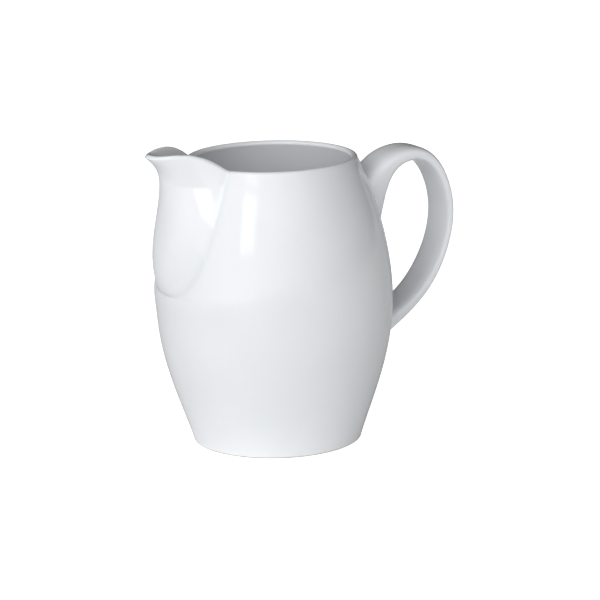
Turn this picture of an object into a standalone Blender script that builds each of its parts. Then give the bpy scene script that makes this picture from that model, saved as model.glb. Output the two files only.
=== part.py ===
"""White glazed ceramic pitcher: a bellied jug with an applied beak spout and a strap handle.

It stands on Z = 0. The spout points along -X and the handle along +X, and the jug is the same on both sides
of Y = 0. Lengths in the constants are in millimetres from the barrel's axis, and MM turns them into metres.
"""

import math

import bmesh
import bpy
from mathutils import Vector

MM = 0.001
MERGE = 1e-6

# Place of the barrel's axis, chosen so that the spout tip and the handle reach equally far from X = 0.
AXIS_X = -17.6

# Barrel: the control values of one smooth curve of its outer radius, from the table up to the rim.
BARREL_CURVE = (48.3, 58.0, 77.1, 69.9, 63.8, 48.4)
RIM_HEIGHT = 165.0
WALL = 4.0
RIM_ROUND = 2.0
FLOOR_TOP = 13.5
FLOOR_FILLET = 6.0
BODY_BOTTOM = 7.3
BARREL_SEGMENTS = 72
# Steps up the outer face, over the rim, down the inner face and round the corner of the floor.
OUTER_STEPS = 19
RIM_STEPS = 5
INNER_STEPS = 15
FILLET_STEPS = 3

# Foot ring: the trimmed, unglazed ring the jug stands on.
FOOT_HEIGHT = 7.0
FOOT_INNER = 41.0
FOOT_FLARE = 1.5
FOOT_EDGE = 1.2

# Clay layers left between pieces: a gap, the slip, and a gap.
GAP = 0.3
SLIP = 0.6
JOINT = GAP + SLIP + GAP

# Spout: its lowest edge, where its U would close, half the angle it covers on the barrel at the rim, and how
# the U swells and rounds.
SPOUT_FOOT = 92.85
U_CLOSES = 92.75
SPOUT_SPREAD = math.radians(33.5)
U_SWELL = 2.1
U_ROUND = 0.37
# Spout: how far its front stands out from the axis, from its foot to the neck below the flared lip.
KEEL_CURVE = (68.4, 77.6, 70.9, 66.6, 68.3)
SPOUT_NECK = 156.0
# Angle between the spout's flank and the barrel where they meet.
CREASE_FOOT = math.radians(12.0)
CREASE_NECK = math.radians(26.0)
# How blunt the nose is, how straight the flanks are, and how much later the front flares than the flanks.
NOSE_BLUNTNESS = 0.36
FLANK_PULL = 0.5
FLARE_DELAY = 1.4
SPOUT_WALL = 3.8
LIP_REACH = 77.6
LIP_ROUND = 1.7
# Lip: height above the rim, from the middle of the spout (0) to the fold where it meets the rim (1).
LIP_RISE = (
    (0.0, 8.7),
    (0.20, 8.4),
    (0.35, 8.7),
    (0.50, 9.2),
    (0.62, 9.1),
    (0.76, 7.6),
    (0.90, 3.8),
    (1.0, 0.0),
)
SPOUT_COLUMNS = 28
PANEL_ROWS = 13
# How much closer together the panel's rows lie near its foot.
PANEL_CROWDING = 1.8
LIP_ROWS = 5
LIP_STEPS = 4
OUTLINE_STEPS = 14
# The notch behind the spout: how far above the rim it goes, and where it starts inside the wall, turns at the
# wall's face and ends, measured outwards from the barrel's face.
NOTCH_CLEARANCE = 15.0
NOTCH_LAYERS = (-6.0, 2.0, 40.0)

# Handle: control points of its outer and inner edge seen from the side, from the rim down, as (outer x,
# outer z, inner x, inner z).
STRAP_CURVE = (
    (47.5, 111.4, 51.3, 50.4),
    (38.0, 128.6, 60.6, 100.9),
    (55.3, 147.1, 65.9, 120.0),
    (67.5, 160.6, 71.3, 152.0),
    (98.9, 165.5, 94.6, 157.0),
    (113.1, 138.1, 107.0, 135.8),
    (114.1, 115.1, 108.8, 114.4),
    (106.0, 89.5, 101.2, 93.7),
    (92.2, 70.4, 87.0, 74.9),
    (70.9, 54.6, 68.2, 65.0),
    (51.0, 42.9, 48.8, 53.1),
    (28.6, 26.7, 28.3, 43.9),
)
HANDLE_WIDTH_TOP = 27.0
HANDLE_WIDTH_END = 25.0
# Shape of its section: 2 is an ellipse, and more is squarer.
HANDLE_SQUARENESS = 3.2
HANDLE_STATIONS = 60
HANDLE_CORNERS = 16
# Steps up the block that trims its ends to the barrel.
BLOCK_STEPS = 22
# How far the slip is pressed out round the handle.
SLIP_SPREAD = 0.8
# Shares of the handle's length within which its upper and lower slip seams lie.
UPPER_SEAM_END = 0.3
LOWER_SEAM_START = 0.75


def curve_value(controls, share):
    """A Bezier curve's value at a share, from 0 to 1, of its length."""
    last = len(controls) - 1
    total = 0.0
    for k, value in enumerate(controls):
        total += math.comb(last, k) * share**k * (1 - share) ** (last - k) * value
    return total


def smooth_value(table, x):
    """The value at x of a smooth curve through (x, value) pairs that never overshoots them."""
    if x <= table[0][0]:
        return table[0][1]
    if x >= table[-1][0]:
        return table[-1][1]
    slopes = [(b[1] - a[1]) / (b[0] - a[0]) for a, b in zip(table, table[1:])]
    tangents = [slopes[0]]
    for before, after in zip(slopes, slopes[1:]):
        same_way = before * after > 0
        tangents.append(2 * before * after / (before + after) if same_way else 0.0)
    tangents.append(slopes[-1])
    i = max(k for k in range(len(table) - 1) if table[k][0] <= x)
    (x0, y0), (x1, y1) = table[i], table[i + 1]
    h = x1 - x0
    t = (x - x0) / h
    return (
        y0 * (1 + 2 * t) * (1 - t) ** 2
        + h * tangents[i] * t * (1 - t) ** 2
        + y1 * t * t * (3 - 2 * t)
        + h * tangents[i + 1] * t * t * (t - 1)
    )


def barrel_radius(z):
    return curve_value(BARREL_CURVE, z / RIM_HEIGHT)


def spout_half_angle(z):
    climb = (z - U_CLOSES) / (RIM_HEIGHT - U_CLOSES)
    return SPOUT_SPREAD * (1 - (1 - climb) ** U_SWELL) ** U_ROUND


def on_jug(reach, side, height):
    """A point given by its distance from the axis along the spout, sideways, and up."""
    return Vector((AXIS_X - reach, side, height)) * MM


def around_barrel(angle, radius, height):
    """A point at an angle from the spout's direction, in radians."""
    return on_jug(radius * math.cos(angle), radius * math.sin(angle), height)


def material(name, colour, roughness, coat):
    made = bpy.data.materials.new(name)
    made.use_nodes = True
    shader = made.node_tree.nodes["Principled BSDF"]
    shader.inputs["Base Color"].default_value = (*colour, 1.0)
    shader.inputs["Roughness"].default_value = roughness
    shader.inputs["Coat Weight"].default_value = coat
    return made


def new_object(name, mesh_builder, finish):
    """A linked object whose closed mesh was filled in by mesh_builder."""
    bm = bmesh.new()
    mesh_builder(bm)
    bmesh.ops.recalc_face_normals(bm, faces=bm.faces)
    mesh = bpy.data.meshes.new(name)
    bm.to_mesh(mesh)
    bm.free()
    if finish is not None:
        mesh.materials.append(finish)
    mesh.shade_smooth()
    made = bpy.data.objects.new(name, mesh)
    bpy.context.scene.collection.objects.link(made)
    return made


def helper(name, mesh_builder):
    """A cutting shape, which isn't part of the jug."""
    made = new_object(name, mesh_builder, None)
    made.hide_render = True
    made.display_type = "WIRE"
    return made


def cut(target, tool, operation):
    modifier = target.modifiers.new(operation.title(), "BOOLEAN")
    modifier.operation = operation
    modifier.solver = "EXACT"
    modifier.object = tool


def revolve(bm, profile):
    """Spins a closed (radius, height) outline round the barrel's axis, or one that starts and ends on it."""
    verts = [bm.verts.new(on_jug(radius, 0.0, height)) for radius, height in profile]
    edges = [bm.edges.new(pair) for pair in zip(verts, verts[1:])]
    if profile[0][0] > 0.0:
        edges.append(bm.edges.new((verts[-1], verts[0])))
    bmesh.ops.spin(
        bm,
        geom=verts + edges,
        cent=on_jug(0.0, 0.0, 0.0),
        axis=(0.0, 0.0, 1.0),
        angle=2 * math.pi,
        steps=BARREL_SEGMENTS,
        use_merge=True,
    )
    bmesh.ops.remove_doubles(bm, verts=bm.verts, dist=MERGE)


def heights(start, end, count):
    return [start + (end - start) * k / count for k in range(count + 1)]


def barrel_outline():
    """The barrel's wall and floor as a closed (radius, height) outline."""
    shoulder = RIM_HEIGHT - RIM_ROUND
    outline = [(0.0, BODY_BOTTOM)]
    outline += [(barrel_radius(z), z) for z in heights(BODY_BOTTOM, shoulder, OUTER_STEPS)]
    middle = barrel_radius(shoulder) - WALL / 2
    for k in range(1, RIM_STEPS):
        angle = math.pi * k / RIM_STEPS
        outline.append(
            (middle + WALL / 2 * math.cos(angle), shoulder + RIM_ROUND * math.sin(angle))
        )
    fillet_top = FLOOR_TOP + FLOOR_FILLET
    outline += [(barrel_radius(z) - WALL, z) for z in heights(shoulder, fillet_top, INNER_STEPS)]
    corner = barrel_radius(fillet_top) - WALL - FLOOR_FILLET
    for k in range(1, FILLET_STEPS + 1):
        angle = math.pi / 2 * k / FILLET_STEPS
        outline.append(
            (corner + FLOOR_FILLET * math.cos(angle), fillet_top - FLOOR_FILLET * math.sin(angle))
        )
    outline.append((0.0, FLOOR_TOP))
    return outline


def spout_outline(offset, top):
    """The U where the panel meets the barrel, moved outwards by offset: (angle, height) from rim to rim."""
    side = []
    for k in range(OUTLINE_STEPS + 1):
        z = SPOUT_FOOT + (top - SPOUT_FOOT) * (k / OUTLINE_STEPS) ** 2
        side.append((spout_half_angle(z) * barrel_radius(z), z))
    whole = [(-s, z) for s, z in reversed(side)] + side
    moved = []
    for k, (s, z) in enumerate(whole):
        before = whole[max(k - 1, 0)]
        after = whole[min(k + 1, len(whole) - 1)]
        along = Vector((after[0] - before[0], after[1] - before[1])).normalized()
        outward = Vector((along.y, -along.x))
        moved.append((s + outward.x * offset, z + outward.y * offset))
    moved[0] = (moved[0][0], whole[0][1])
    moved[-1] = (moved[-1][0], whole[-1][1])
    return [(s / barrel_radius(z), z) for s, z in moved]


def notch(bm):
    """The wedge that opens the barrel's wall behind the spout, a slip joint wider than the panel."""
    outline = spout_outline(JOINT, RIM_HEIGHT)
    places = [(angle, barrel_radius(z), z) for angle, z in outline]
    above = RIM_HEIGHT + NOTCH_CLEARANCE
    rim_radius = barrel_radius(RIM_HEIGHT)
    places = [(outline[0][0], rim_radius, above)] + places + [(outline[-1][0], rim_radius, above)]
    layers = []
    for beyond in NOTCH_LAYERS:
        layers.append([bm.verts.new(around_barrel(a, r + beyond, z)) for a, r, z in places])
    count = len(places)
    for inner, outer in zip(layers, layers[1:]):
        for k in range(count):
            after = (k + 1) % count
            bm.faces.new((inner[k], inner[after], outer[after], outer[k]))
    for cap in (layers[0], layers[-1]):
        for k in range(count // 2 - 1):
            far = count - 1 - k
            bm.faces.new((cap[k], cap[k + 1], cap[far - 1], cap[far]))


def spout_slip(bm):
    """The thin U of slip between the panel's edge and the barrel's wall."""
    top = RIM_HEIGHT - RIM_ROUND
    near = spout_outline(GAP, top)
    far = spout_outline(GAP + SLIP, top)
    stations = []
    for (angle_a, z_a), (angle_b, z_b) in zip(near, far):
        stations.append(
            [
                bm.verts.new(around_barrel(angle_a, barrel_radius(z_a) - WALL, z_a)),
                bm.verts.new(around_barrel(angle_a, barrel_radius(z_a), z_a)),
                bm.verts.new(around_barrel(angle_b, barrel_radius(z_b), z_b)),
                bm.verts.new(around_barrel(angle_b, barrel_radius(z_b) - WALL, z_b)),
            ]
        )
    join_sections(bm, stations)


def join_sections(bm, stations):
    """Skins a row of equal sections and caps both ends."""
    count = len(stations[0])
    for first, second in zip(stations, stations[1:]):
        for k in range(count):
            after = (k + 1) % count
            bm.faces.new((first[k], first[after], second[after], second[k]))
    bm.faces.new(stations[0])
    bm.faces.new(list(reversed(stations[-1])))


def beak_section(t, radius, half_angle, front, crease):
    """(reach, side) on the spout's plan at t, from -1 to 1 across it: straight flanks and a rounded nose."""
    edge = Vector((radius * math.cos(half_angle), radius * math.sin(half_angle)))
    nose = Vector((front, 0.0))
    leaving = half_angle + crease
    away = Vector((math.sin(leaving), -math.cos(leaving)))
    chord = (nose - edge).length
    round_nose = nose + Vector((0.0, NOSE_BLUNTNESS * edge.y))
    points = (nose, round_nose, edge + away * FLANK_PULL * chord, edge)
    s = abs(t)
    weights = ((1 - s) ** 3, 3 * s * (1 - s) ** 2, 3 * s * s * (1 - s), s**3)
    place = sum((p * w for p, w in zip(points, weights)), Vector((0.0, 0.0)))
    return Vector((place.x, math.copysign(place.y, t)))


def spout_point(t, share, inset):
    """A point of the spout: share runs from the U's foot (0) through the neck (1) to the lip (2)."""
    climb = min(share, 1.0)
    z = SPOUT_FOOT + (SPOUT_NECK - SPOUT_FOOT) * climb
    crease = CREASE_FOOT + (CREASE_NECK - CREASE_FOOT) * climb
    front = curve_value(KEEL_CURVE, climb) - inset
    plan = beak_section(t, barrel_radius(z) - inset, spout_half_angle(z), front, crease)
    if share <= 1.0:
        return Vector((plan.x, plan.y, z))
    rim = RIM_HEIGHT - RIM_ROUND
    rim_radius = barrel_radius(rim) - inset
    lip = beak_section(t, rim_radius, spout_half_angle(rim), LIP_REACH - inset, CREASE_NECK)
    top = rim + smooth_value(LIP_RISE, abs(t))
    rise = share - 1.0
    flare = rise ** (1.0 + FLARE_DELAY * (1 - abs(t)))
    plan = plan.lerp(lip, flare)
    return Vector((plan.x, plan.y, SPOUT_NECK + (top - SPOUT_NECK) * rise))


def spout_panel(bm):
    """The spout as one curved sheet of clay with a rounded lip and square edges where it meets the barrel."""
    shares = [(k / PANEL_ROWS) ** PANEL_CROWDING for k in range(PANEL_ROWS)]
    shares += [1.0 + k / LIP_ROWS for k in range(LIP_ROWS + 1)]
    across = [-1 + 2 * k / SPOUT_COLUMNS for k in range(SPOUT_COLUMNS + 1)]
    columns = []
    for t in across:
        outer = [spout_point(t, share, 0.0) for share in shares]
        inner = [spout_point(t, share, SPOUT_WALL) for share in reversed(shares)]
        middle = (outer[-1] + inner[0]) / 2
        lip = []
        for k in range(1, LIP_STEPS):
            angle = math.pi * k / LIP_STEPS
            arc = middle + (outer[-1] - middle) * math.cos(angle)
            lip.append(arc + Vector((0.0, 0.0, LIP_ROUND * math.sin(angle))))
        columns.append([bm.verts.new(on_jug(*p)) for p in outer + lip + inner])
    for left, right in zip(columns, columns[1:]):
        for k in range(len(left)):
            after = (k + 1) % len(left)
            bm.faces.new((left[k], left[after], right[after], right[k]))
    rows = len(shares)
    for column in (columns[0], columns[-1]):
        last = len(column) - 1
        for k in range(rows - 1):
            bm.faces.new((column[k], column[k + 1], column[last - k - 1], column[last - k]))
        bm.faces.new(column[rows - 1 : last - rows + 2])


def strap_edges(share):
    """Outer and inner edge of the strap at a share of its length, each as (x, z)."""
    place = share * (len(STRAP_CURVE) - 3)
    first = min(int(place), len(STRAP_CURVE) - 4)
    t = place - first
    weights = (
        (1 - t) ** 3 / 6,
        (3 * t**3 - 6 * t**2 + 4) / 6,
        (3 * t + 3 * t**2 - 3 * t**3 + 1) / 6,
        t**3 / 6,
    )
    near = STRAP_CURVE[first : first + 4]
    values = [sum(w * point[k] for w, point in zip(weights, near)) for k in range(4)]
    return Vector(values[:2]), Vector(values[2:])


def strap(bm, spread, start=0.0, end=1.0):
    """The strap between two shares of its length, grown by spread. Both of its ends lie inside the barrel."""
    stations = []
    for k in range(HANDLE_STATIONS + 1):
        share = k / HANDLE_STATIONS
        if not start <= share <= end:
            continue
        half_width = (HANDLE_WIDTH_TOP + (HANDLE_WIDTH_END - HANDLE_WIDTH_TOP) * share) / 2 + spread
        outer, inner = strap_edges(share)
        centre = (outer + inner) / 2
        half = (outer - inner) / 2
        half += half.normalized() * spread
        section = []
        for corner in range(HANDLE_CORNERS):
            angle = 2 * math.pi * (corner + 0.5) / HANDLE_CORNERS
            power = 2 / HANDLE_SQUARENESS
            wide = math.copysign(abs(math.cos(angle)) ** power, math.cos(angle))
            thick = math.copysign(abs(math.sin(angle)) ** power, math.sin(angle))
            place = centre + half * thick
            section.append(bm.verts.new(on_jug(-place.x, half_width * wide, place.y)))
        stations.append(section)
    join_sections(bm, stations)


def barrel_block(offset):
    """A builder of the barrel as a solid without its hollow, grown by offset."""

    def build(bm):
        levels = heights(0.0, RIM_HEIGHT, BLOCK_STEPS)
        outline = [(0.0, levels[0] - offset)]
        outline += [(barrel_radius(z) + offset, z) for z in levels]
        outline += [(0.0, levels[-1] + offset)]
        revolve(bm, outline)

    return build


def foot(bm):
    outline = [
        (FOOT_INNER + FOOT_EDGE, 0.0),
        (barrel_radius(FOOT_EDGE) - FOOT_EDGE, 0.0),
        (barrel_radius(FOOT_EDGE), FOOT_EDGE),
        (barrel_radius(FOOT_HEIGHT), FOOT_HEIGHT),
        (FOOT_INNER - FOOT_FLARE, FOOT_HEIGHT),
        (FOOT_INNER, FOOT_EDGE),
    ]
    revolve(bm, outline)


for old in list(bpy.data.objects):
    bpy.data.objects.remove(old)

glaze = material("white_glaze", (0.86, 0.87, 0.88), 0.12, 1.0)
slip = material("glazed_slip", (0.84, 0.85, 0.86), 0.16, 1.0)
bare_clay = material("bare_clay", (0.74, 0.71, 0.66), 0.8, 0.0)

body = new_object("body", lambda bm: revolve(bm, barrel_outline()), glaze)
cut(body, helper("spout_notch_cutter", notch), "DIFFERENCE")

new_object("spout", spout_panel, glaze)
new_object("spout_seam", spout_slip, slip)
new_object("foot_ring", foot, bare_clay)

handle = new_object("handle", lambda bm: strap(bm, 0.0), glaze)
cut(handle, helper("handle_trim_cutter", barrel_block(JOINT)), "DIFFERENCE")

slip_outside = helper("slip_outside_cutter", barrel_block(GAP + SLIP))
slip_inside = helper("slip_inside_cutter", barrel_block(GAP))
for seam_name, start, end in (
    ("upper_handle_seam", 0.0, UPPER_SEAM_END),
    ("lower_handle_seam", LOWER_SEAM_START, 1.0),
):
    seam = new_object(seam_name, lambda bm: strap(bm, SLIP_SPREAD, start, end), slip)
    cut(seam, slip_outside, "INTERSECT")
    cut(seam, slip_inside, "DIFFERENCE")
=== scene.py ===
import math

import bmesh
import bpy
from mathutils import Matrix, Vector


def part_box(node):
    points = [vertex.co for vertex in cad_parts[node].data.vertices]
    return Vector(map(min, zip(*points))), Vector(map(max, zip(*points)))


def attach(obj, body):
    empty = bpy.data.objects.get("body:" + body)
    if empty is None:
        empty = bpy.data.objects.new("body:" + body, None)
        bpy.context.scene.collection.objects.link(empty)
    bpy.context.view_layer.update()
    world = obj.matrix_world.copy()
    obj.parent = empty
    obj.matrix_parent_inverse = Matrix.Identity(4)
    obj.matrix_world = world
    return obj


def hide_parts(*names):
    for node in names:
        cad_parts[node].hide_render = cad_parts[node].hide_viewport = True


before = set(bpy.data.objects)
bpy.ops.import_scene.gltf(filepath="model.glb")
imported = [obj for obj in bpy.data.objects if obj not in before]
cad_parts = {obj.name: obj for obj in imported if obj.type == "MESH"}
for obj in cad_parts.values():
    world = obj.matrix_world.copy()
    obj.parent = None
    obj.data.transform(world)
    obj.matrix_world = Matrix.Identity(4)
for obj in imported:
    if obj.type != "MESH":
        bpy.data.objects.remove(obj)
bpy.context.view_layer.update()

# ---------------------------------------------------------------------------------------------------------
# Barrel.
# The jug starts as a thrown barrel of white earthenware: one even wall, swelling to the belly, with a round
# lip and a flat floor. Lengths here and below are in millimetres from the barrel's axis, with the spout
# towards -X.
# ---------------------------------------------------------------------------------------------------------
MM = 0.001
axis_x = (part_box("foot_ring")[0].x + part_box("foot_ring")[1].x) / 2 / MM
foot_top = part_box("foot_ring")[1].z / MM
rim_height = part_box("body")[1].z / MM

WALL = 4.0
LIP_ROUND = 2.0
FLOOR_TOP = 13.5
FLOOR_FILLET = 6.0
# Points closer than this are one point.
MERGE = 0.001
# Outer radius from the table to the rim: the control values of one smooth curve.
BARREL_CURVE = (48.3, 58.0, 77.1, 69.9, 63.8, 48.4)

shoulder = rim_height - LIP_ROUND


def curve_value(controls, share):
    """A Bezier curve's value at a share, from 0 to 1, of its length."""
    last = len(controls) - 1
    total = 0.0
    for k, value in enumerate(controls):
        total += math.comb(last, k) * share**k * (1 - share) ** (last - k) * value
    return total


def barrel_radius(z):
    return curve_value(BARREL_CURVE, min(max(z / rim_height, 0.0), 1.0))


def levels(*stretches):
    """Heights from one bound to the next, each stretch given as (start, end, steps)."""
    found = [stretches[0][0]]
    for start, end, steps in stretches:
        found += [start + (end - start) * k / steps for k in range(1, steps + 1)]
    return found


def barrel_outline():
    """The wall in section, as (radius, height), from the underside's middle over the rim to the floor."""
    outline = [(0.0, foot_top)]
    outline += [(barrel_radius(foot_top) * k / 4, foot_top) for k in (1, 2, 3)]
    up = levels((foot_top, 88.0, 27), (88.0, 150.0, 56), (150.0, shoulder, 24))
    outline += [(barrel_radius(z), z) for z in up]
    lip_middle = barrel_radius(shoulder) - WALL / 2
    for k in range(1, 10):
        angle = math.pi * k / 10
        outline.append(
            (lip_middle + WALL / 2 * math.cos(angle), shoulder + LIP_ROUND * math.sin(angle))
        )
    fillet_top = FLOOR_TOP + FLOOR_FILLET
    down = levels((shoulder, 150.0, 24), (150.0, 88.0, 56), (88.0, fillet_top, 24))
    outline += [(barrel_radius(z) - WALL, z) for z in down]
    corner = barrel_radius(fillet_top) - WALL - FLOOR_FILLET
    for k in range(1, 6):
        angle = math.pi / 2 * k / 5
        outline.append(
            (corner + FLOOR_FILLET * math.cos(angle), fillet_top - FLOOR_FILLET * math.sin(angle))
        )
    outline += [(corner * k / 5, FLOOR_TOP) for k in (4, 3, 2, 1, 0)]
    return outline


def chain(bm, points):
    """Vertices joined in a row by edges."""
    verts = [bm.verts.new(point) for point in points]
    edges = [bm.edges.new(pair) for pair in zip(verts, verts[1:])]
    return verts + edges


def turn(bm, geometry, degrees, steps):
    """Spins an outline round the jug's axis and returns where it ends."""
    spun = bmesh.ops.spin(
        bm,
        geom=geometry,
        cent=(0.0, 0.0, 0.0),
        axis=(0.0, 0.0, 1.0),
        angle=math.radians(degrees),
        steps=steps,
    )
    return spun["geom_last"]


def finished(name, bm):
    """Turns millimetres round the axis into a smooth object in its place on the jug."""
    bmesh.ops.transform(
        bm,
        matrix=Matrix.Translation((axis_x * MM, 0.0, 0.0)) @ Matrix.Scale(MM, 4),
        verts=bm.verts,
    )
    mesh = bpy.data.meshes.new(name)
    bm.to_mesh(mesh)
    bm.free()
    mesh.shade_smooth()
    piece = bpy.data.objects.new(name, mesh)
    bpy.context.scene.collection.objects.link(piece)
    return piece


def tidy_shell(bm):
    """Merges doubled points and turns every face outwards."""
    bmesh.ops.remove_doubles(bm, verts=bm.verts, dist=MERGE)
    bmesh.ops.recalc_face_normals(bm, faces=bm.faces)


class Amount:
    """A number, colour or direction that varies over a surface. Arithmetic on numbers adds Math nodes."""

    def __init__(self, nodes, socket):
        self.nodes = nodes
        self.socket = socket

    def worked(self, operation, first, second):
        return self.nodes.node("ShaderNodeMath", {"operation": operation}, {0: first, 1: second})

    def __add__(self, other):
        return self.worked("ADD", self, other)

    def __sub__(self, other):
        return self.worked("SUBTRACT", self, other)

    def __rsub__(self, other):
        return self.worked("SUBTRACT", other, self)

    def __mul__(self, other):
        return self.worked("MULTIPLY", self, other)

    __radd__ = __add__
    __rmul__ = __mul__


class Nodes:
    """A node tree, filled one node at a time."""

    def __init__(self, tree):
        self.tree = tree
        self.tree.nodes.clear()

    def feed(self, node, inputs):
        for key, value in inputs.items():
            if isinstance(value, Amount):
                self.tree.links.new(value.socket, node.inputs[key])
            else:
                node.inputs[key].default_value = value

    def node(self, kind, settings, inputs, output=0):
        """Adds a node with its settings and its sockets' values or links, and returns one of its outputs."""
        made = self.tree.nodes.new(kind)
        for name, value in settings.items():
            setattr(made, name, value)
        self.feed(made, inputs)
        return Amount(self, made.outputs[output]) if made.outputs else None

    def noise(self, size, detail, stretch=(1.0, 1.0, 1.0)):
        """Soft random values round 0.5, in patches about size millimetres across."""
        place = self.node("ShaderNodeTexCoord", {}, {}, "Object")
        where = self.node("ShaderNodeMapping", {}, {"Vector": place, "Scale": stretch})
        sockets = {"Vector": where, "Scale": 1 / (size * MM), "Detail": detail}
        return self.node("ShaderNodeTexNoise", {}, sockets)

    def step(self, value, start, end):
        """0 below start and 1 beyond end, with a soft change between."""
        sockets = {"Value": value, "From Min": start, "From Max": end}
        return self.node("ShaderNodeMapRange", {"interpolation_type": "SMOOTHSTEP"}, sockets)

    def blend(self, share, first, second):
        """A colour from first, at share 0, to second, at 1."""
        sockets = {0: share, 6: first, 7: second}
        return self.node("ShaderNodeMix", {"data_type": "RGBA"}, sockets, 2)


# The jug is dipped in one opaque, glossy, cool white glaze. It thins over the lip to the warmer clay, pools
# blue-grey in hollows, lies in soft ripples, and has a pinhole here and there. The blue-grey in the joints is
# darker than pooling alone, as painted shade.
GLAZE_WHITE = (0.845, 0.858, 0.875, 1.0)
GLAZE_CLOUD = (0.825, 0.842, 0.862, 1.0)
GLAZE_THIN = (0.86, 0.85, 0.83, 1.0)
# Darker blue-grey for the joints: pooled glaze and painted shade in one colour.
GLAZE_POOL_AND_SHADE = (0.74, 0.78, 0.81, 1.0)
BARE_CLAY = (0.72, 0.68, 0.61, 1.0)
BARE_CLAY_DARK = (0.60, 0.56, 0.50, 1.0)
# Sizes in millimetres: clouds in the colour, two sizes of ripple, cells that may hold a pinhole, hairlines,
# and the clay's grain and rubbed patches.
CLOUD_SIZE = 34.0
RIPPLE_SIZE = 26.0
FINE_RIPPLE_SIZE = 7.0
PINHOLE_CELL = 11.0
HAIRLINE_SIZE = 1.6
GRAIN_SIZE = 0.9
RUBBED_SIZE = 14.0
# Relief in millimetres.
RIPPLE_DEPTH = 0.07
FINE_RIPPLE_DEPTH = 0.012
PINHOLE_DEPTH = 0.05
GRAIN_DEPTH = 0.12
GLAZE_DEPTH = 0.15
# Heights between which the glaze thins over the lip, and between which the foot is wiped.
LIP_THINS = (158.0, 165.0)
FOOT_WIPED = (1.0, 1.25)
# Roughness of the glaze and of the clay.
GLAZE_ROUGHNESS = 0.075
CLAY_ROUGHNESS = 0.78
GLAZE_IOR = 1.5


def dipped(name, wiped_foot=False):
    """The glaze over one piece. A wiped foot shows bare matt clay on the face it stands on."""
    material = bpy.data.materials.new(name)
    material.use_nodes = True
    glaze = Nodes(material.node_tree)

    place = glaze.node("ShaderNodeTexCoord", {}, {}, "Object")
    facing = glaze.node("ShaderNodeTexCoord", {}, {}, "Normal")
    height = glaze.node("ShaderNodeSeparateXYZ", {}, {"Vector": place}, "Z")
    upwards = glaze.node("ShaderNodeSeparateXYZ", {}, {"Vector": facing}, "Z")
    pool_and_shade = glaze.node("ShaderNodeAttribute", {"attribute_name": "pool_and_shade"}, {}, "Fac")

    clouds = glaze.noise(CLOUD_SIZE, 3.0)
    near_lip = glaze.step(height, LIP_THINS[0] * MM, LIP_THINS[1] * MM)
    thin = near_lip * glaze.step(upwards, 0.45, 0.95)
    colour = glaze.blend(glaze.step(clouds, 0.3, 0.7), GLAZE_WHITE, GLAZE_CLOUD)
    colour = glaze.blend(thin * 0.5, colour, GLAZE_THIN)
    # Pooled glaze and painted shade: the joints' hollows are blended towards the darker blue-grey.
    colour = glaze.blend(pool_and_shade * 0.55, colour, GLAZE_POOL_AND_SHADE)

    # Pinholes: one cell in a few keeps a hole a fifth of a millimetre across.
    cells = {"Vector": place, "Scale": 1 / (PINHOLE_CELL * MM)}
    middle = glaze.node("ShaderNodeTexVoronoi", {}, cells, "Distance")
    chance = glaze.node("ShaderNodeTexVoronoi", {}, cells, "Color")
    chosen = glaze.node("ShaderNodeSeparateColor", {}, {"Color": chance}, "Red")
    pinhole = (1 - glaze.step(middle, 0.008, 0.014)) * glaze.step(chosen, 0.74, 0.76)
    colour = glaze.blend(pinhole * 0.6, colour, BARE_CLAY)

    # Cutlery and drying leave hairlines that only the gloss shows.
    hairlines = glaze.step(glaze.noise(HAIRLINE_SIZE, 2.0, (1.0, 1.0, 0.06)), 0.66, 0.72)
    gloss = clouds * 0.05 + GLAZE_ROUGHNESS + hairlines * 0.05 + thin * 0.05 - pool_and_shade * 0.02

    ripples = glaze.noise(RIPPLE_SIZE, 1.0) * RIPPLE_DEPTH
    ripples = ripples + glaze.noise(FINE_RIPPLE_SIZE, 1.0) * FINE_RIPPLE_DEPTH - pinhole * PINHOLE_DEPTH
    relief = {"Strength": 1.0, "Distance": MM, "Height": ripples}
    sockets = {"IOR": GLAZE_IOR}
    if wiped_foot:
        edge = height + glaze.noise(6.0, 2.0) * 0.5 * MM
        bare = 1 - glaze.step(edge, FOOT_WIPED[0] * MM, FOOT_WIPED[1] * MM)
        grain = glaze.noise(GRAIN_SIZE, 4.0)
        rubbed = glaze.step(glaze.noise(RUBBED_SIZE, 4.0), 0.45, 0.65)
        clay = glaze.blend(grain * 0.5 + rubbed * 0.4, BARE_CLAY, BARE_CLAY_DARK)
        colour = glaze.blend(bare, colour, clay)
        gloss = gloss * (1 - bare) + bare * CLAY_ROUGHNESS
        relief["Height"] = ripples + bare * grain * GRAIN_DEPTH - bare * GLAZE_DEPTH
    sockets["Normal"] = glaze.node("ShaderNodeBump", {}, relief)
    sockets["Base Color"] = colour
    sockets["Roughness"] = gloss
    coat = glaze.node("ShaderNodeBsdfPrincipled", {}, sockets)
    glaze.node("ShaderNodeOutputMaterial", {}, {"Surface": coat})
    return material


def glaze_piece(piece, slot, pool_and_shade_at=None, wiped_foot=False):
    """Dips a piece. pool_and_shade_at says, for a place in millimetres round the barrel's axis, how much
    pooled glaze and painted shade darken it.
    """
    layer = piece.data.attributes.new("pool_and_shade", "FLOAT", "POINT")
    axis = Vector((axis_x, 0.0, 0.0))
    if pool_and_shade_at is not None:
        for vert in piece.data.vertices:
            layer.data[vert.index].value = pool_and_shade_at(vert.co / MM - axis)
    piece.data.materials.clear()
    piece.data.materials.append(dipped(slot, wiped_foot))


# The wall is spun more finely over this many degrees to each side of the spout.
SPOUT_SIDE = 38.0
SPOUT_STEPS = 100
REST_STEPS = 142

wall = bmesh.new()
section = chain(wall, [(-radius, 0.0, z) for radius, z in barrel_outline()])
bmesh.ops.rotate(
    wall,
    matrix=Matrix.Rotation(math.radians(-SPOUT_SIDE), 3, "Z"),
    verts=wall.verts,
)
section = turn(wall, section, 2 * SPOUT_SIDE, SPOUT_STEPS)
turn(wall, section, 360 - 2 * SPOUT_SIDE, REST_STEPS)
tidy_shell(wall)

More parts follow.
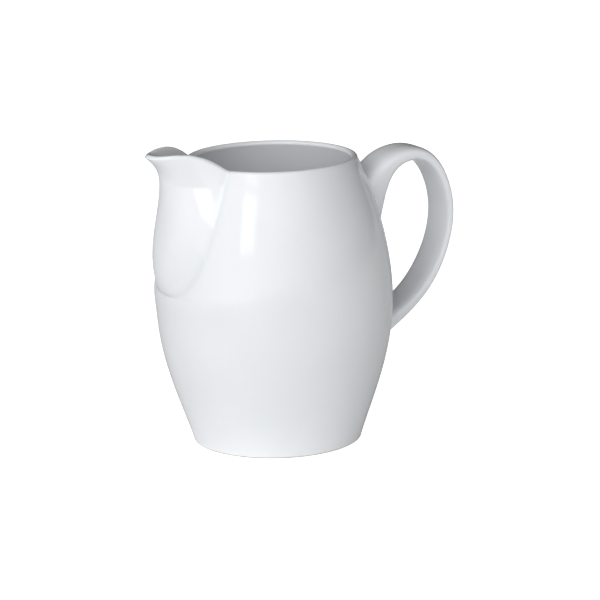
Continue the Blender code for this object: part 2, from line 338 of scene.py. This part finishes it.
# ---------------------------------------------------------------------------------------------------------
# Beak spout.
# A pressed clay panel, luted over a notch in the barrel's front: it rises from a round U on the belly, stands
# out like a keel and flares into a lip whose middle is drawn down a little to cut the drip.
# ---------------------------------------------------------------------------------------------------------
SPOUT_FOOT = 92.75
SPOUT_NECK = 156.0
# Half the angle the panel covers on the barrel, at the rim, and how round its U is.
SPOUT_SPREAD = math.radians(33.5)
U_SWELL = 2.1
U_ROUND = 0.37
# The swelling below it: how far out, at what height, how tall, and over how many degrees to each side.
SWELL = 1.0
SWELL_HEIGHT = 90.0
SWELL_TALL = 9.0
SWELL_WIDE = 52.0
FLOOR_REACH = 30.0
# How far to each side of the panel's edge the joint is wiped.
WIPE_REACH = 3.0
# How far the keel stands from the axis, from the foot of the U to the neck, and then at the lip.
KEEL_CURVE = (68.4, 77.6, 70.9, 66.6, 68.3)
LIP_REACH = 77.6
# Angle between the panel and the barrel where they meet, at the foot and at the neck.
CREASE_FOOT = math.radians(12.0)
CREASE_NECK = math.radians(26.0)
# How blunt the nose is, how straight the flanks are, and how much later the keel flares than the flanks.
NOSE_BLUNTNESS = 0.36
FLANK_PULL = 0.5
FLARE_DELAY = 1.4
# Height of the lip over the shoulder, from its middle (0) to the fold where it meets the rim (1).
LIP_RISE = (
    (0.0, 8.7),
    (0.2, 8.4),
    (0.35, 8.7),
    (0.5, 9.2),
    (0.62, 9.1),
    (0.76, 7.6),
    (0.9, 3.8),
    (1.0, 0.0),
)


def spout_half_angle(z):
    climb = (z - SPOUT_FOOT) / (rim_height - SPOUT_FOOT)
    climb = min(max(climb, 0.0), 1.0)
    return SPOUT_SPREAD * (1 - (1 - climb) ** U_SWELL) ** U_ROUND


def smooth_value(table, x):
    """The value at x of a smooth curve through (x, value) pairs that never overshoots them."""
    slopes = [(b[1] - a[1]) / (b[0] - a[0]) for a, b in zip(table, table[1:])]
    tangents = [slopes[0]]
    for before, after in zip(slopes, slopes[1:]):
        same_way = before * after > 0
        tangents.append(2 * before * after / (before + after) if same_way else 0.0)
    tangents.append(slopes[-1])
    i = max(k for k in range(len(table) - 1) if table[k][0] <= x)
    (x0, y0), (x1, y1) = table[i], table[i + 1]
    h = x1 - x0
    t = (x - x0) / h
    return (
        y0 * (1 + 2 * t) * (1 - t) ** 2
        + h * tangents[i] * t * (1 - t) ** 2
        + y1 * t * t * (3 - 2 * t)
        + h * tangents[i + 1] * t * t * (t - 1)
    )


def panel_plan(t, radius, half_angle, keel, crease):
    """(reach, side) on the panel's plan at t, from its round nose at the keel (0) to the barrel (1)."""
    edge = Vector((radius * math.cos(half_angle), radius * math.sin(half_angle)))
    nose = Vector((keel, 0.0))
    leaving = half_angle + crease
    flank = Vector((math.sin(leaving), -math.cos(leaving))) * FLANK_PULL * (nose - edge).length
    round_nose = nose + Vector((0.0, NOSE_BLUNTNESS * edge.y))
    return (
        nose * (1 - t) ** 3
        + round_nose * 3 * t * (1 - t) ** 2
        + (edge + flank) * 3 * t * t * (1 - t)
        + edge * t**3
    )


def panel_point(t, z, inset):
    """(reach, side, height) on the panel, inset from its face. z is the height before the lip is drawn up."""
    below_neck = min(z, SPOUT_NECK)
    climb = max((below_neck - SPOUT_FOOT) / (SPOUT_NECK - SPOUT_FOOT), 0.0)
    crease = CREASE_FOOT + (CREASE_NECK - CREASE_FOOT) * climb
    keel = curve_value(KEEL_CURVE, climb) - inset
    plan = panel_plan(t, barrel_radius(below_neck) - inset, spout_half_angle(below_neck), keel, crease)
    if z <= SPOUT_NECK:
        return Vector((plan.x, plan.y, z))
    lip = panel_plan(
        t, barrel_radius(shoulder) - inset, spout_half_angle(shoulder), LIP_REACH - inset, CREASE_NECK
    )
    rise = (z - SPOUT_NECK) / (shoulder - SPOUT_NECK)
    plan = plan.lerp(lip, rise ** (1.0 + FLARE_DELAY * (1 - t)))
    top = shoulder + smooth_value(LIP_RISE, min(t, 0.9999))
    return Vector((plan.x, plan.y, SPOUT_NECK + (top - SPOUT_NECK) * rise))


def crease_distance(point):
    """How far a point of the barrel is from the edge of the spout panel, negative inside the panel."""
    z = min(point.z, shoulder)
    if z < SPOUT_FOOT - 12.0:
        return SPOUT_FOOT - z
    radius = barrel_radius(z)
    around = abs(math.atan2(point.y, -point.x))
    slope = (spout_half_angle(z + 0.5) - spout_half_angle(z - 0.5)) * radius
    below = max(SPOUT_FOOT - z, 0.0)
    across = (around - spout_half_angle(z)) * radius / math.hypot(1.0, slope)
    return math.hypot(max(across, 0.0), below) if below else across


def swelling(around, z):
    """How far the wall stands out at an angle from the spout and a height."""
    tall = math.exp(-(((z - SWELL_HEIGHT) / SWELL_TALL) ** 2))
    return SWELL * tall * math.exp(-((math.degrees(around) / SWELL_WIDE) ** 4))


# Pressing the panel on swells the wall a little all round its foot. The floor stays flat.
for vert in wall.verts:
    level = Vector((vert.co.x, vert.co.y, 0.0))
    if level.length > FLOOR_REACH:
        around = math.atan2(vert.co.y, -vert.co.x)
        vert.co += level.normalized() * swelling(around, vert.co.z)

moved = []
for vert in wall.verts:
    z = min(vert.co.z, shoulder)
    around = math.atan2(vert.co.y, -vert.co.x)
    swell = swelling(around, vert.co.z)
    radius = math.hypot(vert.co.x, vert.co.y) - swell
    if vert.co.z < SPOUT_FOOT or radius < barrel_radius(z) - WALL - 0.5:
        continue
    away = crease_distance(vert.co)
    if away < WIPE_REACH:
        moved.append((vert, away))
    share = abs(around) / spout_half_angle(z)
    if share >= 1.0:
        continue
    place = panel_point(share, z, barrel_radius(z) - radius)
    outwards = Vector((math.cos(around), abs(math.sin(around)), 0.0)) * swell
    place += outwards + Vector((0.0, 0.0, vert.co.z - z))
    vert.co = Vector((-place.x, math.copysign(place.y, around), place.z))

# The potter wipes the joint to a soft hollow.
for reach in (WIPE_REACH, WIPE_REACH, 2.4, 2.4, 1.8, 1.8, 1.2, 1.2):
    near = [vert for vert, away in moved if abs(away) < reach]
    bmesh.ops.smooth_vert(
        wall, verts=near, factor=0.5, use_axis_x=True, use_axis_y=True, use_axis_z=True
    )
wall.normal_update()
whole_wall = finished("jug_wall", wall)


# The cutters that part the panel from the barrel: steps up each side, closer near the foot, how far they pass
# the rim, how far inside the wall they start, and their length.
JOINT_STEPS = 48
JOINT_CROWDING = 2.2
CUTTER_CLEARANCE = 20.0
CUTTER_START = 3.0
CUTTER_LENGTH = 60.0


def joint_outline(spread):
    """The U of the panel's edge, moved outwards by spread, as (angle, height) from rim to rim."""
    steps = [(k / JOINT_STEPS) ** JOINT_CROWDING for k in range(JOINT_STEPS + 1)]
    heights = [SPOUT_FOOT + (rim_height - SPOUT_FOOT) * step for step in steps]
    side = [(spout_half_angle(z) * barrel_radius(z), z) for z in heights]
    whole = [(-s, z) for s, z in reversed(side[1:])] + side
    shifted = []
    for k, (s, z) in enumerate(whole):
        before = whole[max(k - 1, 0)]
        after = whole[min(k + 1, len(whole) - 1)]
        along = Vector((after[0] - before[0], after[1] - before[1])).normalized()
        shifted.append((s + along.y * spread, z - along.x * spread))
    above = rim_height + CUTTER_CLEARANCE
    shifted = [(shifted[0][0], above)] + shifted + [(shifted[-1][0], above)]
    return [(s / barrel_radius(z), z) for s, z in shifted]


def joint_cutter(name, spread):
    """A wedge from inside the jug out past the lip, bounded by the U."""
    bm = bmesh.new()
    near = []
    for angle, z in joint_outline(spread):
        radius = barrel_radius(z) - WALL - CUTTER_START
        near.append(bm.verts.new((-radius * math.cos(angle), radius * math.sin(angle), z)))
    face = bm.faces.new(near)
    far = bmesh.ops.extrude_face_region(bm, geom=[face])["geom"]
    for vert in far:
        if isinstance(vert, bmesh.types.BMVert):
            outwards = Vector((vert.co.x, vert.co.y, 0.0)).normalized()
            vert.co += outwards * CUTTER_LENGTH
    bmesh.ops.recalc_face_normals(bm, faces=bm.faces)
    return finished(name, bm)


def carved(name, source, steps):
    """A new object: source with each (operation, tool) applied, and its cut edges kept sharp."""
    piece = bpy.data.objects.new(name, source.data.copy())
    bpy.context.scene.collection.objects.link(piece)
    for operation, tool in steps:
        cut = piece.modifiers.new(operation.title(), "BOOLEAN")
        cut.operation = operation
        cut.solver = "EXACT"
        cut.object = tool
    bpy.context.view_layer.update()
    graph = bpy.context.evaluated_depsgraph_get()
    mesh = bpy.data.meshes.new_from_object(piece.evaluated_get(graph))
    piece.modifiers.clear()
    piece.data = mesh
    mesh.name = name
    joined = bmesh.new()
    joined.from_mesh(mesh)
    bmesh.ops.remove_doubles(joined, verts=joined.verts, dist=MERGE * MM)
    joined.to_mesh(mesh)
    joined.free()
    mesh.set_sharp_from_angle(angle=math.radians(50))
    return piece


SLIP_WIDTH = 1.2
# Width of the pooled glaze and painted shade along the spout's joint, in millimetres.
JOINT_POOL_AND_SHADE_WIDTH = 2.2
inner_cutter = joint_cutter("inner_joint_cutter", 0.0)
outer_cutter = joint_cutter("outer_joint_cutter", SLIP_WIDTH)
barrel = carved("thrown_barrel", whole_wall, [("DIFFERENCE", outer_cutter)])
spout = carved("beak_spout", whole_wall, [("INTERSECT", inner_cutter)])
spout_joint = carved(
    "spout_slip_joint", whole_wall, [("DIFFERENCE", inner_cutter), ("INTERSECT", outer_cutter)]
)
for tool in (inner_cutter, outer_cutter, whole_wall):
    bpy.data.objects.remove(tool)


def joint_pool_and_shade(place):
    """Glaze lies thick in the hollow along the panel's edge, darkened further there as painted shade."""
    if place.x > 0.0 or place.z > shoulder + 8.0 or place.z < SPOUT_FOOT - 8.0:
        return 0.0
    return math.exp(-((crease_distance(place) / JOINT_POOL_AND_SHADE_WIDTH) ** 2))


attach(barrel, "root")
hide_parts("body")
glaze_piece(barrel, "body_glaze", joint_pool_and_shade)
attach(spout, "root")
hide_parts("spout")
glaze_piece(spout, "spout_glaze", joint_pool_and_shade)
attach(spout_joint, "root")
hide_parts("spout_seam")
glaze_piece(spout_joint, "seam_glaze", joint_pool_and_shade)

# ---------------------------------------------------------------------------------------------------------
# Foot ring.
# The jug is turned over on the wheel and its base trimmed to a ring. Glaze runs down its sides, and the face
# it stands on is wiped bare.
# ---------------------------------------------------------------------------------------------------------
FOOT_INNER = 41.0
FOOT_EDGE = 1.2
FOOT_STEPS = 180

foot_bm = bmesh.new()
foot_outline = [(barrel_radius(z), z) for z in levels((foot_top, FOOT_EDGE, 6))]
outer_foot = barrel_radius(FOOT_EDGE) - FOOT_EDGE
foot_outline += [
    (outer_foot + FOOT_EDGE * math.cos(angle), FOOT_EDGE - FOOT_EDGE * math.sin(angle))
    for angle in (math.pi / 8, math.pi / 4, 3 * math.pi / 8, math.pi / 2)
]
inner_foot = FOOT_INNER + FOOT_EDGE
foot_outline += [
    (inner_foot - FOOT_EDGE * math.sin(angle), FOOT_EDGE - FOOT_EDGE * math.cos(angle))
    for angle in (0.0, math.pi / 8, math.pi / 4, 3 * math.pi / 8, math.pi / 2)
]
foot_outline += [(FOOT_INNER, 5.5), (FOOT_INNER - 0.5, foot_top - 0.4), (FOOT_INNER - 1.5, foot_top)]
foot_section = chain(foot_bm, [(-radius, 0.0, z) for radius, z in foot_outline + foot_outline[:1]])
turn(foot_bm, foot_section, 360, FOOT_STEPS)
tidy_shell(foot_bm)
foot = finished("trimmed_foot_ring", foot_bm)
foot.data.set_sharp_from_angle(angle=math.radians(50))
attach(foot, "root")
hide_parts("foot_ring")
glaze_piece(foot, "bare_foot", wiped_foot=True)

# ---------------------------------------------------------------------------------------------------------
# Handle.
# A flat strap of pulled clay, thick where it grips the barrel under the rim, thin at its bend and rounded
# along both edges. It is set on while leather-hard.
# ---------------------------------------------------------------------------------------------------------
# Control points of the strap seen from the side, from the rim down: outer x, outer z, inner x, inner z.
STRAP_CURVE = (
    (47.5, 111.4, 51.3, 50.4),
    (38.0, 128.6, 60.6, 100.9),
    (55.3, 147.1, 65.9, 120.0),
    (67.5, 160.6, 71.3, 152.0),
    (98.9, 165.5, 94.6, 157.0),
    (113.1, 138.1, 107.0, 135.8),
    (114.1, 115.1, 108.8, 114.4),
    (106.0, 89.5, 101.2, 93.7),
    (92.2, 70.4, 87.0, 74.9),
    (70.9, 54.6, 68.2, 65.0),
    (51.0, 42.9, 48.8, 53.1),
    (28.6, 26.7, 28.3, 43.9),
)
STRAP_WIDTH_TOP = 27.0
STRAP_WIDTH_END = 25.0
STRAP_SQUARENESS = 3.2
STRAP_STATIONS = 200
STRAP_CORNERS = 56
# How deep in the wall the ends' middle and deepest points lie.
END_MIDDLE = 2.5
END_DEPTH = 3.3
# How far up the strap glaze pools, with painted shade darkening it, from the barrel.
HANDLE_POOL_AND_SHADE_REACH = 3.0


def strap_edges(share):
    """Outer and inner edge of the strap, as two (x, z) points, on a smooth curve that the controls steer."""
    place = min(max(share, 0.0), 0.99999) * (len(STRAP_CURVE) - 3)
    first = int(place)
    t = place - first
    weights = (
        (1 - t) ** 3 / 6,
        (3 * t**3 - 6 * t**2 + 4) / 6,
        (3 * t + 3 * t**2 - 3 * t**3 + 1) / 6,
        t**3 / 6,
    )
    edges = [sum(w * STRAP_CURVE[first + k][c] for k, w in enumerate(weights)) for c in range(4)]
    return Vector(edges[:2]), Vector(edges[2:])


def strap_point(share, angle):
    """A point on the strap's skin: angle runs round its section from the +Y edge over the outer face."""
    outer, inner = strap_edges(share)
    power = 2 / STRAP_SQUARENESS
    wide = math.copysign(abs(math.cos(angle)) ** power, math.cos(angle))
    thick = math.copysign(abs(math.sin(angle)) ** power, math.sin(angle))
    half_width = (STRAP_WIDTH_TOP + (STRAP_WIDTH_END - STRAP_WIDTH_TOP) * share) / 2
    place = (outer + inner) / 2 + (outer - inner) / 2 * thick
    return Vector((place.x, half_width * wide, place.y))


def outside_barrel(point):
    """How far a point stands off the barrel's outer face."""
    return math.hypot(point.x, point.y) - barrel_radius(point.z)


def middle_height(share):
    """How far the strap's middle line stands off the barrel."""
    outer, inner = strap_edges(share)
    middle = (outer + inner) / 2
    return outside_barrel(Vector((middle.x, 0.0, middle.y)))


def lofted(name, sections, closed):
    """A skin over a closed loop of equal rings of points, or over a run of them with both ends capped."""
    bm = bmesh.new()
    rings = []
    for points in sections:
        made = bmesh.ops.create_circle(bm, segments=len(points), radius=1.0)["verts"]
        for vert, point in zip(made, points):
            vert.co = point
        rings.append(list({edge for vert in made for edge in vert.link_edges}))
    pairs = list(zip(rings, rings[1:]))
    if closed:
        pairs.append((rings[-1], rings[0]))
    for first, second in pairs:
        bmesh.ops.bridge_loops(bm, edges=first + second)
    if not closed:
        bmesh.ops.contextual_create(bm, geom=rings[0])
        bmesh.ops.contextual_create(bm, geom=rings[-1])
    bmesh.ops.recalc_face_normals(bm, faces=bm.faces)
    return finished(name, bm)


def on_barrel(point, stand):
    """The point moved level until it stands that far off the barrel's outer face."""
    level = Vector((point.x, point.y, 0.0)).normalized() * (barrel_radius(point.z) + stand)
    return Vector((level.x, level.y, point.z))


def kept_in_wall(point):
    """The point, raised if it would come out inside the jug."""
    return point if outside_barrel(point) > -END_DEPTH else on_barrel(point, -END_DEPTH)


# Both ends stop inside the wall.
corners = [2 * math.pi * (k + 0.5) / STRAP_CORNERS for k in range(STRAP_CORNERS)]
shares = [k / STRAP_STATIONS for k in range(STRAP_STATIONS + 1)]
shares = [share for share in shares if middle_height(share) > -END_MIDDLE]
handle = lofted(
    "strap_handle",
    [[kept_in_wall(strap_point(share, angle)) for angle in corners] for share in shares],
    False,
)
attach(handle, "root")
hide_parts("handle")


def handle_pool_and_shade(place):
    """Glaze gathers where the strap meets the barrel, darkened further there as painted shade."""
    return math.exp(-((outside_barrel(place) / HANDLE_POOL_AND_SHADE_REACH) ** 2))


glaze_piece(handle, "handle_glaze", handle_pool_and_shade)

# ---------------------------------------------------------------------------------------------------------
# Handle joints.
# Slip is pressed out where the strap meets the barrel and wiped with a finger to a hollow bead all round it,
# above and below. The glaze pools there, and painted shade darkens it.
# ---------------------------------------------------------------------------------------------------------
BEAD = 2.6
BEAD_STEPS = 8
BEAD_CORNERS = 84
# Shares of the strap's length between which it stands clear of the barrel, and how finely its ends are found.
UPPER_LIMIT = 0.45
LOWER_LIMIT = 0.6
HALVINGS = 30
# How deep the bead's edges, its two ends and its middle lie in the clay under them.
SKIN = 0.02
BEAD_SKIN = 0.8
BEAD_ROOT = 1.0


def share_standing(angle, distance, end):
    """Share of the strap's length, near its end 0 or 1, where its skin stands distance off the barrel."""
    hidden, shown = (0.0, UPPER_LIMIT) if end == 0 else (1.0, LOWER_LIMIT)
    for _ in range(HALVINGS):
        middle = (hidden + shown) / 2
        if outside_barrel(strap_point(middle, angle)) < distance:
            hidden = middle
        else:
            shown = middle
    return shown


def barrel_normal(point):
    slope = barrel_radius(point.z + 0.5) - barrel_radius(point.z - 0.5)
    level = Vector((point.x, point.y, 0.0)).normalized()
    return (level - Vector((0.0, 0.0, slope))).normalized()


def bead_sections(end):
    """Rings of the hollow bead, from the barrel up to the strap and back inside the clay."""
    angles = [2 * math.pi * (k + 0.5) / BEAD_CORNERS for k in range(BEAD_CORNERS)]
    roots = [strap_point(share_standing(angle, 0.0, end), angle) for angle in angles]
    tops = [strap_point(share_standing(angle, BEAD, end), angle) for angle in angles]
    centre = sum(roots, Vector()) / len(roots)
    sections = []
    for k, (root, top) in enumerate(zip(roots, tops)):
        along = roots[(k + 1) % len(roots)] - roots[k - 1]
        outwards = along.cross(barrel_normal(root)).normalized()
        if outwards.dot(root - centre) < 0:
            outwards = -outwards
        foot = on_barrel(root + outwards * BEAD, -SKIN)
        crown = top - outwards * SKIN
        section = []
        for step in range(BEAD_STEPS + 1):
            t = step / BEAD_STEPS
            section.append(foot * (1 - t) ** 2 + root * 2 * t * (1 - t) + crown * t * t)
        inwards = barrel_normal(root)
        section.append(crown - outwards * BEAD_SKIN)
        section.append(root - outwards * BEAD_ROOT - inwards * BEAD_ROOT)
        section.append(foot - inwards * BEAD_SKIN)
        sections.append(section)
    return sections


for name, node, end in (
    ("upper_handle_bead", "upper_handle_seam", 0),
    ("lower_handle_bead", "lower_handle_seam", 1),
):
    bead = lofted(name, bead_sections(end), True)
    bead.data.set_sharp_from_angle(angle=math.radians(60))
    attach(bead, "root")
    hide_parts(node)
    glaze_piece(bead, "seam_glaze", handle_pool_and_shade)

# ---------------------------------------------------------------------------------------------------------
# Studio.
# The jug stands on white paper in a white room, lit softly from the spout's side and the front. A tall window
# to the left of the camera shows in the gloss, and a dark curtain hangs behind the handle.
# ---------------------------------------------------------------------------------------------------------
# The paper: its white, the light it gives back everywhere, and what lifts it to pure white in the camera.
PAPER_WHITE = (0.85, 0.85, 0.85, 1.0)
PAPER_GLOW = 0.12
PAPER_LIFT = 0.8
PAPER_HALF = 6.0
# The room: its colour, its dimmest light, its soft glows as (azimuth, elevation, brightness), and how narrow
# they are. Azimuth 0 is -Y and 90 is +X.
ROOM_COLOUR = (0.985, 0.99, 1.0, 1.0)
ROOM_DIM = 0.02
ROOM_GLOWS = ((322.0, 24.0, 1.70), (270.0, 14.0, 0.47))
GLOW_NARROWNESS = 2.0
# The curtain: the direction of its middle, and the cosines from it where it starts and is fully dark.
CURTAIN = (120.0, 42.0)
CURTAIN_EDGE = 0.0
CURTAIN_CORE = 0.7
# The window's two panes as (name, azimuth, elevation, width, height), their power for each square metre, how
# far off they stand and at what height they aim, in metres.
WINDOW_PANES = (
    ("lower_pane", -53.5, 21.5, 0.38, 0.48),
    ("upper_pane", -53.5, 35.0, 0.38, 0.05),
)
WINDOW_POWER = 8.0
WINDOW_DISTANCE = 1.5
WINDOW_AIM = 0.12
# The camera: how far it is turned round the jug, raised and tilted, how far off it stands, its lens, and how
# far its aim lies right of the barrel's middle and below it, in metres.
VIEW_TURN = math.radians(27.0)
VIEW_RISE = math.radians(13.7)
VIEW_TILT = math.radians(1.25)
VIEW_DISTANCE = 1.7217
VIEW_LENS = 180.0
VIEW_SENSOR = 36.0
AIM_RIGHT = 0.0147
AIM_DOWN = 0.0018

scene = bpy.context.scene
scene.view_settings.view_transform = "Standard"
floor_bm = bmesh.new()
bmesh.ops.create_grid(floor_bm, x_segments=1, y_segments=1, size=PAPER_HALF)
floor_mesh = bpy.data.meshes.new("table_top")
floor_bm.to_mesh(floor_mesh)
floor_bm.free()
floor = bpy.data.objects.new("table_top", floor_mesh)
scene.collection.objects.link(floor)
paper = bpy.data.materials.new("white_paper")
paper.use_nodes = True
sheet = Nodes(paper.node_tree)
seen = sheet.node("ShaderNodeLightPath", {}, {}, "Is Camera Ray")
light = {"Color": (1.0, 1.0, 1.0, 1.0), "Strength": seen * PAPER_LIFT + PAPER_GLOW}
glow = sheet.node("ShaderNodeEmission", {}, light)
matt = sheet.node("ShaderNodeBsdfDiffuse", {}, {"Color": PAPER_WHITE})
both = sheet.node("ShaderNodeAddShader", {}, {0: matt, 1: glow})
sheet.node("ShaderNodeOutputMaterial", {}, {"Surface": both})
floor_mesh.materials.append(paper)


def compass(azimuth, elevation):
    """A direction from the jug: azimuth 0 is -Y and 90 is +X, in degrees."""
    a, e = math.radians(azimuth), math.radians(elevation)
    return Vector((math.sin(a) * math.cos(e), -math.cos(a) * math.cos(e), math.sin(e)))


world = bpy.data.worlds.new("studio")
scene.world = world
world.use_nodes = True
room = Nodes(world.node_tree)
direction = room.node("ShaderNodeTexCoord", {}, {}, "Generated")
brightness = ROOM_DIM
for azimuth, elevation, strength in ROOM_GLOWS:
    towards_it = {0: direction, 1: compass(azimuth, elevation)}
    nearness = room.node("ShaderNodeVectorMath", {"operation": "DOT_PRODUCT"}, towards_it, "Value")
    spread = room.node("ShaderNodeMath", {"operation": "EXPONENT"}, {0: (nearness - 1.0) * GLOW_NARROWNESS})
    brightness = spread * strength + brightness
curtain = {0: direction, 1: compass(*CURTAIN)}
nearness = room.node("ShaderNodeVectorMath", {"operation": "DOT_PRODUCT"}, curtain, "Value")
brightness = brightness * (1 - room.step(nearness, CURTAIN_EDGE, CURTAIN_CORE))
seen = room.node("ShaderNodeLightPath", {}, {}, "Is Camera Ray")
brightness = brightness * (1 - seen) + seen
room_glow = room.node("ShaderNodeBackground", {}, {"Color": ROOM_COLOUR, "Strength": brightness})
room.node("ShaderNodeOutputWorld", {}, {"Surface": room_glow})

towards = Vector(
    (
        -math.sin(VIEW_TURN) * math.cos(VIEW_RISE),
        -math.cos(VIEW_TURN) * math.cos(VIEW_RISE),
        math.sin(VIEW_RISE),
    )
)
level_right = Vector((math.cos(VIEW_TURN), -math.sin(VIEW_TURN), 0.0))
level_up = towards.cross(level_right)
right = level_right * math.cos(VIEW_TILT) - level_up * math.sin(VIEW_TILT)
up = level_right * math.sin(VIEW_TILT) + level_up * math.cos(VIEW_TILT)
middle = Vector((axis_x * MM, 0.0, rim_height * MM / 2))
aim = middle + right * AIM_RIGHT - up * AIM_DOWN
camera_data = bpy.data.cameras.new("camera")
camera_data.sensor_width = VIEW_SENSOR
camera_data.lens = VIEW_LENS
camera = bpy.data.objects.new("camera", camera_data)
camera.location = aim + towards * VIEW_DISTANCE
camera.rotation_euler = Matrix((right, up, towards)).transposed().to_euler()
scene.collection.objects.link(camera)
scene.camera = camera

for name, azimuth, elevation, width, height in WINDOW_PANES:
    data = bpy.data.lights.new(name, "AREA")
    data.shape = "RECTANGLE"
    data.size = width
    data.size_y = height
    data.energy = WINDOW_POWER * width * height
    pane = bpy.data.objects.new(name, data)
    away = compass(azimuth, elevation)
    pane.location = Vector((axis_x * MM, 0.0, WINDOW_AIM)) + away * WINDOW_DISTANCE
    pane.rotation_euler = away.to_track_quat("Z", "Y").to_euler()
    pane.visible_camera = False
    scene.collection.objects.link(pane)
